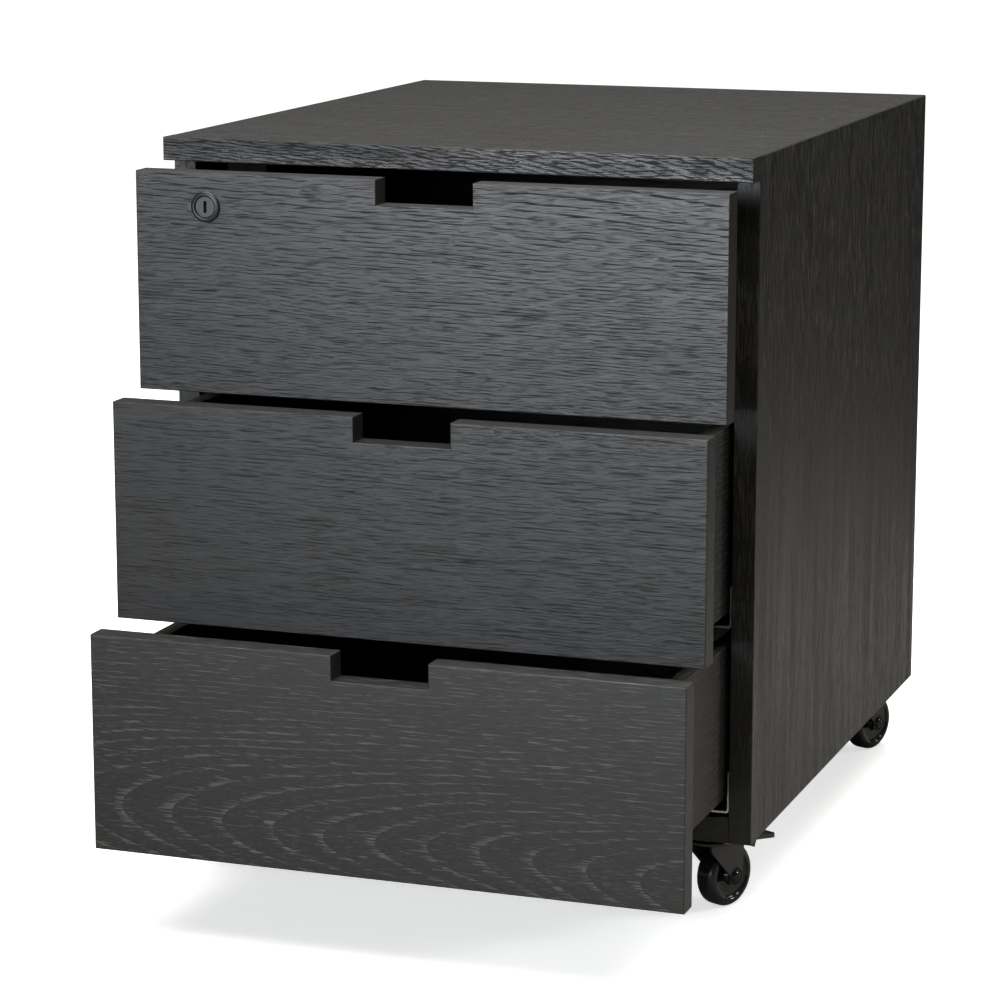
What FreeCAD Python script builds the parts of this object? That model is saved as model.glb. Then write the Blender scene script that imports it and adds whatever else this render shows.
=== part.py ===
import FreeCAD, Part
import math
import os
import re

import Sketcher

# A rolling pedestal cabinet with three drawers.
# +X is the viewer's right when facing the drawers, the drawers open towards -Y, +Z is up.
# The origin is on the floor, under the centre of the case. Millimetres and degrees.

doc = FreeCAD.newDocument("pedestal_cabinet")

dimensions = {
    # case
    "case_width": 470,
    "case_depth": 560,  # over the top panel, from its front edge to the back
    "case_height": 524,
    "caster_height": 65,
    "board": 18,
    "bottom_board": 20,
    "back_board": 12,
    "back_inset": 2,
    "overhang": 20,  # how far the top panel stands forward of the case
    "edge_round": 0.8,
    # drawer fronts
    "front_board": 20,
    "front_gap": 2,
    "front_inset": 2.25,  # from the case's side to the end of a front
    "front_drop": 1.5,  # the bottom front reaches this far below the case
    "notch_width": 76,
    "notch_depth": 19,
    # drawer boxes
    "box_board": 13,
    "box_gap": 4.5,  # between the case's side and the drawer's side
    "box_below_front": 13,
    "box_bottom_board": 8,
    "box_bottom_lift": 13,  # from the side's lower edge to the bottom's underside
    "box_groove": 6,
    "open_top": 54,  # how far each drawer stands open at rest
    "open_middle": 102,
    "open_bottom": 149,
    # runners, seen from the front: u runs inward from the case's side, v up from the flange
    "runner_length": 500,
    "runner_steel": 1.5,
    "runner_flange": 42,
    "runner_web": 32,
    "runner_setback": 2,
    "runner_under_front": 11,  # the box side's lower edge above the flange's underside
    "channel_near": 22.5,
    "channel_wall": 9,
    "bar_near": 30.75,
    "bar_steel": 3,
    "roller_radius": 5,
    # lock
    "lock_inset": 60,  # from the case's left side
    "lock_below_front": 25.5,
    "lock_rosette": 23.5,
    "lock_body": 19,
    "lock_plug": 16.5,
    "lock_clearance": 0.05,
    "cam_length": 24.5,
    "cam_width": 13,
    # casters
    "wheel_diameter": 50,
    "wheel_width": 18,
    "axle_diameter": 6,
    "trail": 16,
    "caster_inset": 41,  # from the case's side to the swivel axis
    "caster_setback": 34,  # from the case's front or back to the swivel axis
    "plate_side": 54,
    "plate_steel": 2.5,
    "plate_hole_offset": 18,
    "fork_steel": 2,
    "fork_inside": 20.4,
    "crown_top": 58,
    "crown_radius": 21,
    "kingpin_radius": 5,
    "running_clearance": 0.05,
    "pedal_pivot_out": 20,  # from the swivel axis, on the trail's side
    "pedal_pivot_height": 53.2,
}

sheet = doc.addObject("Spreadsheet::Sheet", "Dimensions")
for row, (alias, size) in enumerate(dimensions.items(), start=1):
    sheet.set(f"A{row}", alias.replace("_", " "))
    sheet.set(f"B{row}", str(size))
    sheet.setAlias(f"B{row}", alias)
doc.recompute()

# Formulas that several sub-parts share.
half_width = "(case_width / 2)"
half_inside = "(case_width / 2 - board)"
top_front = "(-case_depth / 2)"
case_front = "(overhang - case_depth / 2)"
case_back = "(case_depth / 2)"
case_top = "(caster_height + case_height)"
top_underside = "(caster_height + case_height - board)"
shelf_top = "(caster_height + bottom_board)"
front_height = "((case_height - board + front_drop - 3 * front_gap) / 3)"
box_half = "(case_width / 2 - board - box_gap)"
box_half_inside = "(case_width / 2 - board - box_gap - box_board)"
runner_front = f"({case_front} + runner_setback)"
lock_x = "(lock_inset - case_width / 2)"

levels = ["top", "middle", "bottom"]
screw_setbacks = [37, 228, 448]


def cells(formula):
    """Turn a formula in plain aliases into one that reads the sheet."""
    return re.sub(r"[a-z_]+", lambda m: f"Dimensions.{m[0]}" if m[0] in dimensions else m[0], str(formula))


def number(formula):
    return float(sheet.evalExpression(cells(formula)))


def front_top(level):
    """Formula for the height of a drawer front's top edge."""
    return f"({top_underside} - front_gap - {levels.index(level)} * ({front_height} + front_gap))"


def box_low(level):
    """Formula for the height of a drawer side's lower edge; the bottom drawer's clears the bottom board."""
    if level == "bottom":
        return "(caster_height + bottom_board + 3 + runner_under_front)"
    return f"({front_top(level)} - {front_height} + runner_under_front)"


def place(piece, x="0", y="0", z="0", turn="0"):
    """Bind a sub-part's place to the sheet, with a turn about its own Z axis."""
    for axis, formula in zip("xyz", (x, y, z)):
        piece.setExpression(f"Placement.Base.{axis}", cells(formula))
    spot = FreeCAD.Vector(number(x), number(y), number(z))
    piece.Placement = FreeCAD.Placement(spot, FreeCAD.Rotation(FreeCAD.Vector(0, 0, 1), number(turn)))


def new_body(label):
    body = doc.addObject("PartDesign::Body", label)
    body.Label = label
    return body


def new_sketch(body, plane, lift="0"):
    """An empty sketch on one of the body's origin planes, lifted along that plane's normal."""
    sketch = body.newObject("Sketcher::SketchObject", f"{body.Name}_sketch")
    origin_plane = next(f for f in body.Origin.OriginFeatures if f.Role == f"{plane}_Plane")
    sketch.AttachmentSupport = [(origin_plane, "")]
    sketch.MapMode = "FlatFace"
    sketch.setExpression("AttachmentOffset.Base.z", cells(lift))
    return sketch


def pin_point(sketch, geometry, vertex, x, y):
    """Fix one vertex at two formulas measured from the sketch's origin."""
    for kind, axis, formula in (("DistanceX", -2, x), ("DistanceY", -1, y)):
        if abs(number(formula)) < 1e-6:
            sketch.addConstraint(Sketcher.Constraint("PointOnObject", geometry, vertex, axis))
        else:
            constraint = Sketcher.Constraint(kind, -1, 1, geometry, vertex, number(formula))
            index = sketch.addConstraint(constraint)
            sketch.setExpression(f"Constraints[{index}]", cells(formula))


def outline(body, plane, points, lift="0"):
    """A closed outline of straight lines through points given as pairs of formulas."""
    sketch = new_sketch(body, plane, lift)
    corners = [FreeCAD.Vector(number(x), number(y), 0) for x, y in points]
    for start, end in zip(corners, corners[1:] + corners[:1]):
        sketch.addGeometry(Part.LineSegment(start, end))
    for index, (x, y) in enumerate(points):
        sketch.addConstraint(Sketcher.Constraint("Coincident", (index - 1) % len(points), 2, index, 1))
        pin_point(sketch, index, 1, x, y)
    return sketch


def circles(body, plane, centres, radius, lift="0"):
    """Equal circles at centres given as pairs of formulas."""
    sketch = new_sketch(body, plane, lift)
    upright = FreeCAD.Vector(0, 0, 1)
    for index, (x, y) in enumerate(centres):
        sketch.addGeometry(Part.Circle(FreeCAD.Vector(number(x), number(y), 0), upright, number(radius)))
        pin_point(sketch, index, 3, x, y)
        constraint = sketch.addConstraint(Sketcher.Constraint("Radius", index, number(radius)))
        sketch.setExpression(f"Constraints[{constraint}]", cells(radius))
    return sketch


def extrude(body, kind, sketch, length, backward=False, both=False):
    """A Pad or Pocket of a sketch, to one side of it or half to each side."""
    doc.recompute()
    before = body.Shape.Volume if kind == "Pocket" else 0
    feature = body.newObject(f"PartDesign::{kind}", f"{body.Name}_{kind.lower()}")
    feature.Profile = sketch
    feature.Reversed = backward
    if both:
        feature.SideType = "Symmetric"
    feature.setExpression("Length", cells(length))
    doc.recompute()
    if kind == "Pocket" and body.Shape.Volume > before - 1e-6:
        raise ValueError(f"{body.Label}: a pocket cuts nothing")
    return feature


def revolve(body, sketch, axis):
    """Turn a sketch's outline all the way round one of its own axes."""
    feature = body.newObject("PartDesign::Revolution", f"{body.Name}_turn")
    feature.Profile = sketch
    feature.ReferenceAxis = (sketch, [axis])
    feature.Angle = 360
    doc.recompute()
    return feature


def round_edges(body, radius, wanted):
    """Fillet the edges whose bounding box passes the test."""
    doc.recompute()
    tip = body.Tip
    names = [f"Edge{n}" for n, edge in enumerate(tip.Shape.Edges, start=1) if wanted(edge.BoundBox)]
    feature = body.newObject("PartDesign::Fillet", f"{body.Name}_round")
    feature.Base = (tip, names)
    feature.setExpression("Radius", cells(radius))
    doc.recompute()
    return feature


def lies_at(low, high, place_at):
    return abs(low - place_at) < 1e-4 and abs(high - place_at) < 1e-4


def rectangle(x0, y0, x1, y1):
    return [(x0, y0), (x1, y0), (x1, y1), (x0, y1)]


def group(label, shapes):
    """Separate solids that share one node, in the row's frame."""
    feature = doc.addObject("Part::Feature", label)
    feature.Label = label
    feature.Shape = Part.makeCompound(shapes)
    return feature


def turned(label, profile, axis="H_Axis", plane="YZ"):
    """A body turned from a profile of (along, radius) points about its own Y axis."""
    body = new_body(label)
    revolve(body, outline(body, plane, profile), axis)
    return body


# Case ---------------------------------------------------------------------------------------------


def make_top_panel():
    body = new_body("top_panel")
    nick = "edge_round / 2"
    mitred = [
        (f"-{half_inside}", top_underside),
        (half_inside, top_underside),
        (f"{half_width} - {nick}", f"{case_top} - {nick}"),
        (f"{half_width} - edge_round", case_top),
        (f"edge_round - {half_width}", case_top),
        (f"{nick} - {half_width}", f"{case_top} - {nick}"),
    ]
    extrude(body, "Pad", outline(body, "XZ", mitred, f"-{case_back}"), "case_depth - overhang")
    square = rectangle(f"-{half_width}", top_underside, half_width, case_top)
    extrude(body, "Pad", outline(body, "XZ", square, f"-{case_front}"), "overhang")
    front = number(top_front)
    round_edges(body, "edge_round", lambda box: lies_at(box.YMin, box.YMax, front))
    keeper_holes = [(f"{lock_x} + {side} * 9", f"{case_front} + 16") for side in (-1, 1)]
    drill = circles(body, "XY", keeper_holes, "1.5", top_underside)
    extrude(body, "Pocket", drill, "13", backward=True)


def make_side_panel(label, side):
    body = new_body(label)
    nick = "edge_round / 2"
    profile = [
        (f"{side} * {half_inside}", "caster_height"),
        (f"{side} * {half_width}", "caster_height"),
        (f"{side} * {half_width}", f"{case_top} - edge_round"),
        (f"{side} * ({half_width} - {nick})", f"{case_top} - {nick}"),
        (f"{side} * {half_inside}", top_underside),
    ]
    extrude(body, "Pad", outline(body, "XZ", profile, f"-{case_back}"), "case_depth - overhang")
    front = number(case_front)
    low = number("caster_height")
    round_edges(
        body,
        "edge_round",
        lambda box: (lies_at(box.YMin, box.YMax, front) and box.ZLength > 100)
        or (lies_at(box.ZMin, box.ZMax, low) and box.YLength > 100),
    )
    inner = f"{side} * {half_inside}"
    outward = side > 0
    dowels = circles(body, "YZ", dowel_places(), "4.02", inner)
    extrude(body, "Pocket", dowels, "12.2", backward=outward)
    pilots = circles(body, "YZ", screw_places(), "2.55", inner)
    extrude(body, "Pocket", pilots, "11.5", backward=outward)


def dowel_places():
    """Dowels between the bottom panel and a side, as (y, z) formulas."""
    height = "caster_height + bottom_board / 2"
    return [(f"{case_front} + {setback}", height) for setback in (95, 215, 335, 455)]


def screw_places():
    """Runner screws in a side panel, as (y, z) formulas."""
    return [
        (f"{runner_front} + {setback}", f"{runner_low(level)} + 20")
        for level in levels
        for setback in screw_setbacks
    ]


def runner_low(level):
    return f"({box_low(level)} - runner_under_front)"


def caster_places():
    """The swivel axes: name, x and y formulas and the trail's direction from +Y towards +X, in degrees."""
    x = f"({half_width} - caster_inset)"
    front = f"({case_front} + caster_setback)"
    back = f"({case_back} - caster_setback)"
    return [
        ("front_left", f"-{x}", front, 33),
        ("front_right", x, front, 24),
        ("rear_left", f"-{x}", back, 12),
        ("rear_right", x, back, 22),
    ]


def caster_screw_places():
    offsets = [(dx, dy) for dx in (-1, 1) for dy in (-1, 1)]
    return [
        (f"{x} + {dx} * plate_hole_offset", f"{y} + {dy} * plate_hole_offset")
        for _, x, y, _ in caster_places()
        for dx, dy in offsets
    ]


def make_bottom_panel():
    body = new_body("bottom_panel")
    plan = rectangle(f"-{half_inside}", case_front, half_inside, case_back)
    extrude(body, "Pad", outline(body, "XY", plan, "caster_height"), "bottom_board")
    front = number(case_front)
    round_edges(body, "edge_round", lambda box: lies_at(box.YMin, box.YMax, front) and box.XLength > 100)
    for side in (-1, 1):
        dowels = circles(body, "YZ", dowel_places(), "4.02", f"{side} * {half_inside}")
        extrude(body, "Pocket", dowels, "23", backward=side < 0)
    pilots = circles(body, "XY", caster_screw_places(), "2.3", "caster_height")
    extrude(body, "Pocket", pilots, "14", backward=True)


def make_back_panel():
    body = new_body("back_panel")
    profile = rectangle(f"-{half_inside}", shelf_top, half_inside, top_underside)
    extrude(body, "Pad", outline(body, "XZ", profile, f"back_inset - {case_back}"), "back_board")


def make_carcass_dowels():
    """Fluted beech dowels, 35 mm long, drawn as plain rods with broken ends."""
    rods = []
    length = 35
    for side in (-1, 1):
        for y, z in dowel_places():
            start = FreeCAD.Vector(side * (number(half_inside) + 12), number(y), number(z))
            rod = Part.makeCylinder(4, length, start, FreeCAD.Vector(-side, 0, 0))
            rims = [e for e in rod.Edges if e.Curve.TypeId == "Part::GeomCircle"]
            rods.append(rod.makeChamfer(0.8, rims))
    group("carcass_dowels", rods)


def pan_screw(head_radius, head_height, shank_radius, shank_length, tip, direction):
    """A pan-head screw with a cross recess: its head seats at tip and its shank runs along direction."""
    head = Part.makeCylinder(head_radius, head_height, FreeCAD.Vector(0, 0, -head_height))
    crown = [e for e in head.Edges if e.BoundBox.ZMax < -0.9 * head_height]
    head = head.makeFillet(0.45 * head_height, crown)
    screw = head.fuse(Part.makeCylinder(shank_radius, shank_length - shank_radius))
    point_start = FreeCAD.Vector(0, 0, shank_length - shank_radius)
    screw = screw.fuse(Part.makeCone(shank_radius, 0.3, shank_radius, point_start))
    for turn in (0, 90):
        blade = Part.makeBox(1.2 * head_radius, 0.8, 0.7 * head_height)
        blade.translate(FreeCAD.Vector(-0.6 * head_radius, -0.4, -head_height))
        blade.rotate(FreeCAD.Vector(0, 0, 0), FreeCAD.Vector(0, 0, 1), turn)
        screw = screw.cut(blade)
    screw = screw.removeSplitter()
    screw.Placement = FreeCAD.Placement(tip, FreeCAD.Rotation(FreeCAD.Vector(0, 0, 1), direction))
    return screw


def make_case_screws():
    """Runner screws through the members' webs, the keeper's two and the casters' sixteen."""
    screws = []
    steel = number("runner_steel")
    for side in (-1, 1):
        for y, z in screw_places():
            seat = FreeCAD.Vector(side * (number(half_inside) - steel), number(y), number(z))
            screws.append(pan_screw(4.2, 1.8, 2.5, 12, seat, FreeCAD.Vector(side, 0, 0)))
    for side in (-1, 1):
        x, y = number(lock_x) + 9 * side, number(case_front) + 16
        seat = FreeCAD.Vector(x, y, number(top_underside) - steel)
        screws.append(pan_screw(3, 1.6, 1.45, 13, seat, FreeCAD.Vector(0, 0, 1)))
    for x, y in caster_screw_places():
        seat = FreeCAD.Vector(number(x), number(y), number("caster_height - plate_steel"))
        screws.append(pan_screw(4.2, 2.4, 2.25, 15.5, seat, FreeCAD.Vector(0, 0, 1)))
    group("case_screws", screws)


# Drawers ------------------------------------------------------------------------------------------


def drawer_shift(level):
    return f"(-open_{level})"


def make_drawer_front(level):
    body = new_body(f"drawer_front_{level}")
    end = f"({half_width} - front_inset)"
    high = front_top(level)
    low = f"({high} - {front_height})"
    notch = "(notch_width / 2)"
    profile = [
        (f"-{end}", low),
        (end, low),
        (end, high),
        (notch, high),
        (notch, f"{high} - notch_depth"),
        (f"-{notch}", f"{high} - notch_depth"),
        (f"-{notch}", high),
        (f"-{end}", high),
    ]
    extrude(body, "Pad", outline(body, "XZ", profile, f"-{top_front}"), "front_board", backward=True)
    faces = [number(top_front), number(f"{top_front} + front_board")]
    round_edges(body, "edge_round", lambda box: any(lies_at(box.YMin, box.YMax, face) for face in faces))
    if level == "top":
        lock_centre = (lock_x, f"{high} - lock_below_front")
        bore = circles(body, "XZ", [lock_centre], "lock_body / 2", f"-{top_front}")
        extrude(body, "Pocket", bore, "front_board")
    place(body, y=drawer_shift(level))


def make_drawer_side(level, label, side):
    """A side board with a groove for the drawer's bottom."""
    body = new_body(f"drawer_{label}_{level}")
    low = box_low(level)
    high = f"({front_top(level)} - box_below_front)"
    outer = f"{side} * {box_half}"
    inner = f"{side} * {box_half_inside}"
    groove = f"{side} * ({box_half_inside} + box_groove)"
    bottom = f"({low} + box_bottom_lift)"
    profile = [
        (outer, low),
        (inner, low),
        (inner, bottom),
        (groove, bottom),
        (groove, f"{bottom} + box_bottom_board"),
        (inner, f"{bottom} + box_bottom_board"),
        (inner, high),
        (outer, high),
    ]
    extrude(body, "Pad", outline(body, "XZ", profile, f"-{case_front}"), "runner_length", backward=True)
    top = number(high)
    round_edges(body, "edge_round", lambda box: lies_at(box.ZMin, box.ZMax, top) and box.YLength > 100)
    place(body, y=drawer_shift(level))


def make_drawer_back(level):
    body = new_body(f"drawer_back_{level}")
    low = f"({box_low(level)} + box_bottom_lift + box_bottom_board)"
    high = f"({front_top(level)} - box_below_front)"
    profile = rectangle(f"-{box_half_inside}", low, box_half_inside, high)
    back = f"({case_front} + runner_length)"
    extrude(body, "Pad", outline(body, "XZ", profile, f"-{back}"), "box_board")
    top = number(high)
    round_edges(body, "edge_round", lambda box: lies_at(box.ZMin, box.ZMax, top) and box.XLength > 100)
    place(body, y=drawer_shift(level))


def make_drawer_bottom(level):
    body = new_body(f"drawer_bottom_{level}")
    reach = f"({box_half_inside} + box_groove)"
    plan = rectangle(f"-{reach}", case_front, reach, f"{case_front} + runner_length")
    low = f"({box_low(level)} + box_bottom_lift)"
    extrude(body, "Pad", outline(body, "XY", plan, low), "box_bottom_board")
    place(body, y=drawer_shift(level))


def make_drawer_clips(level):
    """Two plastic clips under the drawer's bottom that hook its front end to the runners."""
    clips = []
    high = number(f"{box_low(level)} + box_bottom_lift")
    front = number(case_front)
    near = number(f"{half_inside} - runner_flange")
    for side in (-1, 1):
        block = Part.makeBox(18, 34, 11, FreeCAD.Vector(-18, 0, -11))
        grip = Part.makeBox(8, 14, 5, FreeCAD.Vector(-26, 4, -9))
        clip = block.fuse(grip).removeSplitter()
        clip = clip.makeFillet(1.5, [e for e in clip.Edges if e.BoundBox.ZLength > 4])
        if side < 0:
            clip = clip.mirror(FreeCAD.Vector(0, 0, 0), FreeCAD.Vector(1, 0, 0))
        clip.translate(FreeCAD.Vector(side * (near - 1), front, high))
        clips.append(clip)
    feature = group(f"drawer_clips_{level}", clips)
    place(feature, y=drawer_shift(level))


# Runners ------------------------------------------------------------------------------------------


def runner_body(label, side, profile, level, setback, length):
    """A rolled steel member: its profile is in (u, v), u inward from the case's side, v up from the flange."""
    body = new_body(label)
    points = [(f"{side} * ({half_inside} - ({u}))", f"{runner_low(level)} + ({v})") for u, v in profile]
    start = f"({case_front} + {setback})"
    extrude(body, "Pad", outline(body, "XZ", points, f"-{start}"), length, backward=True)
    return body


def make_cabinet_member(level, side, label):
    """An L along the case's side, with a channel on its flange for the rollers."""
    steel = "runner_steel"
    profile = [
        ("0", "0"),
        ("runner_flange", "0"),
        ("runner_flange", "channel_wall"),
        (f"runner_flange - {steel}", "channel_wall"),
        (f"runner_flange - {steel}", steel),
        (f"channel_near + {steel}", steel),
        (f"channel_near + {steel}", "channel_wall"),
        ("channel_near", "channel_wall"),
        ("channel_near", steel),
        (steel, steel),
        (steel, "runner_web"),
        ("0", "runner_web"),
    ]
    body = runner_body(label, side, profile, level, "runner_setback", "runner_length")
    low = number(runner_low(level))
    outer = side * number(half_inside)
    inner = side * number(f"{half_inside} - {steel}")

    def bend(at_x, at_z):
        return lambda box: lies_at(box.XMin, box.XMax, at_x) and lies_at(box.ZMin, box.ZMax, at_z)

    round_edges(body, "2 * runner_steel", bend(outer, low))
    round_edges(body, steel, bend(inner, low + number(steel)))
    places = [(f"{runner_front} + {setback}", f"{runner_low(level)} + 20") for setback in screw_setbacks]
    holes = circles(body, "YZ", places, "2.6", f"{side} * {half_inside}")
    extrude(body, "Pocket", holes, steel, backward=side < 0)
    return body


def make_drawer_member(level, side, label):
    """A channel that opens downward: it carries the drawer's bottom and rides on the upper rollers."""
    steel = "runner_steel"
    high = "(runner_under_front + box_bottom_lift)"
    low = "(channel_wall + 1)"
    profile = [
        ("channel_near", low),
        (f"channel_near + {steel}", low),
        (f"channel_near + {steel}", f"{high} - {steel}"),
        (f"runner_flange - {steel}", f"{high} - {steel}"),
        (f"runner_flange - {steel}", low),
        ("runner_flange", low),
        ("runner_flange", high),
        ("channel_near", high),
    ]
    return runner_body(label, side, profile, level, "runner_setback", "runner_length - runner_setback")


def make_middle_member(level, side, label):
    """A flat bar with a bore for each roller's pin."""
    body = runner_body(
        label,
        side,
        rectangle("bar_near", "3", "bar_near + bar_steel", "runner_under_front + 10"),
        level,
        "10",
        "runner_length - 20",
    )
    places = [(f"{case_front} + {along}", f"{runner_low(level)} + {up}") for along, up in roller_places()]
    outer = f"{side} * ({half_inside} - bar_near)"
    holes = circles(body, "YZ", places, "1.55", outer)
    extrude(body, "Pocket", holes, "bar_steel", backward=side < 0)
    return body


def roller_places():
    """Rollers on a middle member, as (along, up): two in the case's channel, two under the drawer's."""
    lower = "(runner_steel + 0.3 + roller_radius)"
    upper = "(runner_under_front + box_bottom_lift - runner_steel - 0.3 - roller_radius)"
    return [(300, lower), (480, lower), (30, upper), (215, upper)]


def make_rollers(level):
    """Twin nylon rollers, two pairs low at the rear of each bar and two pairs high at its front."""
    rollers = []
    wheel = number("roller_radius")
    gap = 0.3
    middle = number("bar_near + bar_steel / 2")
    for side in (-1, 1):
        for along, up in roller_places():
            x = side * (number(half_inside) - middle)
            y = number(f"{case_front} + {along}")
            z = number(f"{runner_low(level)} + {up}")
            centre = FreeCAD.Vector(x, y, z)
            inner = number("bar_steel / 2") + gap
            pin_start = centre - FreeCAD.Vector(inner + 0.1, 0, 0)
            spool = Part.makeCylinder(1.5, 2 * inner + 0.2, pin_start, FreeCAD.Vector(1, 0, 0))
            for hand in (-1, 1):
                start = centre + FreeCAD.Vector(hand * inner, 0, 0)
                disc = Part.makeCylinder(wheel, 4.4, start, FreeCAD.Vector(hand, 0, 0))
                spool = spool.fuse(disc)
            rollers.append(spool.removeSplitter())
    feature = group(f"runner_rollers_{level}", rollers)
    place(feature, y=f"{drawer_shift(level)} / 2")


def pair(label, maker, level):
    """Left and right members of one drawer in one node."""
    members = [maker(level, side, f"{label}_{hand}") for side, hand in ((-1, "left"), (1, "right"))]
    both = doc.addObject("Part::Compound", label)
    both.Label = label
    both.Links = members
    return both


def make_runners(level):
    pair(f"runner_drawer_members_{level}", make_drawer_member, level)
    place(doc.getObject(f"runner_drawer_members_{level}"), y=drawer_shift(level))
    pair(f"runner_middle_members_{level}", make_middle_member, level)
    place(doc.getObject(f"runner_middle_members_{level}"), y=f"{drawer_shift(level)} / 2")
    make_rollers(level)


def make_cabinet_members():
    members = [
        make_cabinet_member(level, side, f"cabinet_member_{level}_{hand}")
        for level in levels
        for side, hand in ((-1, "left"), (1, "right"))
    ]
    both = doc.addObject("Part::Compound", "runner_cabinet_members")
    both.Label = "runner_cabinet_members"
    both.Links = members


# Lock ---------------------------------------------------------------------------------------------

lock_z = f"({front_top('top')} - lock_below_front)"


def place_lock_piece(piece):
    """Lock pieces are made about the lock's axis, with the drawer front's face at zero."""
    place(piece, lock_x, f"{top_front} + {drawer_shift('top')}", lock_z)


def make_lock():
    bore = "(lock_plug / 2 + lock_clearance)"
    housing = turned(
        "lock_housing",
        [
            ("-2.2", bore),
            ("-2.6", "lock_rosette / 2 - 2.6"),
            ("-2", "lock_rosette / 2 - 0.9"),
            ("-1", "lock_rosette / 2"),
            ("0", "lock_rosette / 2"),
            ("0", "lock_body / 2"),
            ("front_board + 6", "lock_body / 2"),
            ("front_board + 6", bore),
        ],
    )
    place_lock_piece(housing)

    nut = new_body("lock_nut")
    corners = [(f"13.2 * cos({60 * n})", f"13.2 * sin({60 * n})") for n in range(6)]
    extrude(nut, "Pad", outline(nut, "XZ", corners, "-front_board"), "4", backward=True)
    thread = circles(nut, "XZ", [("0", "0")], "lock_body / 2", "-front_board")
    extrude(nut, "Pocket", thread, "4")
    place_lock_piece(nut)

    core = turned("lock_core", [("-1.6", "0"), ("-1.6", "lock_plug / 2 - 0.6"), ("-1", "lock_plug / 2"),
                                ("front_board + 7", "lock_plug / 2"), ("front_board + 7", "0")])
    keyway = rectangle("-1.1", "-4.4", "1.1", "4.4")
    extrude(core, "Pocket", outline(core, "XZ", keyway, "1.6"), "7")
    square = rectangle("-3.5", "-3.5", "3.5", "3.5")
    extrude(core, "Pad", outline(core, "XZ", square, "-front_board - 7"), "2.5", backward=True)
    thread = circles(core, "XZ", [("0", "0")], "2", "-front_board - 9.5")
    extrude(core, "Pocket", thread, "7", backward=True)
    place_lock_piece(core)

    cam = new_body("lock_cam")
    half = "(cam_width / 2)"
    plan = [
        (f"-{half}", f"-{half}"),
        ("cam_length - 3", f"-{half}"),
        ("cam_length", f"3 - {half}"),
        ("cam_length", f"{half} - 3"),
        ("cam_length - 3", half),
        (f"-{half}", half),
    ]
    extrude(cam, "Pad", outline(cam, "XZ", plan, "-front_board - 7"), "2.5", backward=True)
    heel = -number(half)

    def heel_corner(box):
        return lies_at(box.XMin, box.XMax, heel) and box.YLength > 1 and box.ZLength < 1

    round_edges(cam, "cam_width / 3", heel_corner)
    socket = rectangle("-3.5", "-3.5", "3.5", "3.5")
    extrude(cam, "Pocket", outline(cam, "XZ", socket, "-front_board - 7"), "2.5")
    place_lock_piece(cam)

    seat = FreeCAD.Vector(0, number("front_board + 9.5"), 0)
    screw = group("lock_cam_screw", [pan_screw(5, 2.4, 1.95, 6.5, seat, FreeCAD.Vector(0, -1, 0))])
    place_lock_piece(screw)


def make_lock_keeper():
    """An angle under the top panel: the turned cam stands behind its hanging leg."""
    body = new_body("lock_keeper")
    steel = "runner_steel"
    front = f"({case_front} + 3.5)"
    profile = [
        (front, f"{top_underside} - 10"),
        (f"{front} + {steel}", f"{top_underside} - 10"),
        (f"{front} + {steel}", f"{top_underside} - {steel}"),
        (f"{front} + 20", f"{top_underside} - {steel}"),
        (f"{front} + 20", top_underside),
        (front, top_underside),
    ]
    extrude(body, "Pad", outline(body, "YZ", profile, f"{lock_x} - 16"), "32")
    places = [(f"{lock_x} + {side} * 9", f"{case_front} + 16") for side in (-1, 1)]
    extrude(body, "Pocket", circles(body, "XY", places, "1.6", top_underside), steel)


# Casters ------------------------------------------------------------------------------------------


def make_caster_plate(name, x, y):
    """A mounting plate with its ball race and riveted kingpin."""
    body = new_body(f"caster_plate_{name}")
    half = "(plate_side / 2)"
    plate_low = "(caster_height - plate_steel)"
    plan = rectangle(f"-{half}", f"-{half}", half, half)
    extrude(body, "Pad", outline(body, "XY", plan, plate_low), "plate_steel")
    round_edges(body, "6", lambda box: box.ZLength > 1 and box.XLength < 1 and box.YLength < 1)
    holes = [(f"{dx} * plate_hole_offset", f"{dy} * plate_hole_offset") for dx in (-1, 1) for dy in (-1, 1)]
    extrude(body, "Pocket", circles(body, "XY", holes, "2.6", plate_low), "plate_steel", backward=True)
    race = [
        ("0", f"{plate_low} + 1"),
        ("0", "crown_top - fork_steel - 3.2"),
        ("6", "crown_top - fork_steel - 3.2"),
        ("7.2", "crown_top - fork_steel - 2"),
        ("7.2", "crown_top - fork_steel - 0.3"),
        ("kingpin_radius", "crown_top - fork_steel - 0.3"),
        ("kingpin_radius", f"{plate_low} - 1.2"),
        ("15", f"{plate_low} - 1.2"),
        ("15", "crown_top + 0.6"),
        ("16.5", "crown_top + 0.6"),
        ("17.8", f"{plate_low} - 1"),
        ("17.8", f"{plate_low} + 1"),
    ]
    revolve(body, outline(body, "XZ", race), "V_Axis")

    place(body, x, y)


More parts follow.
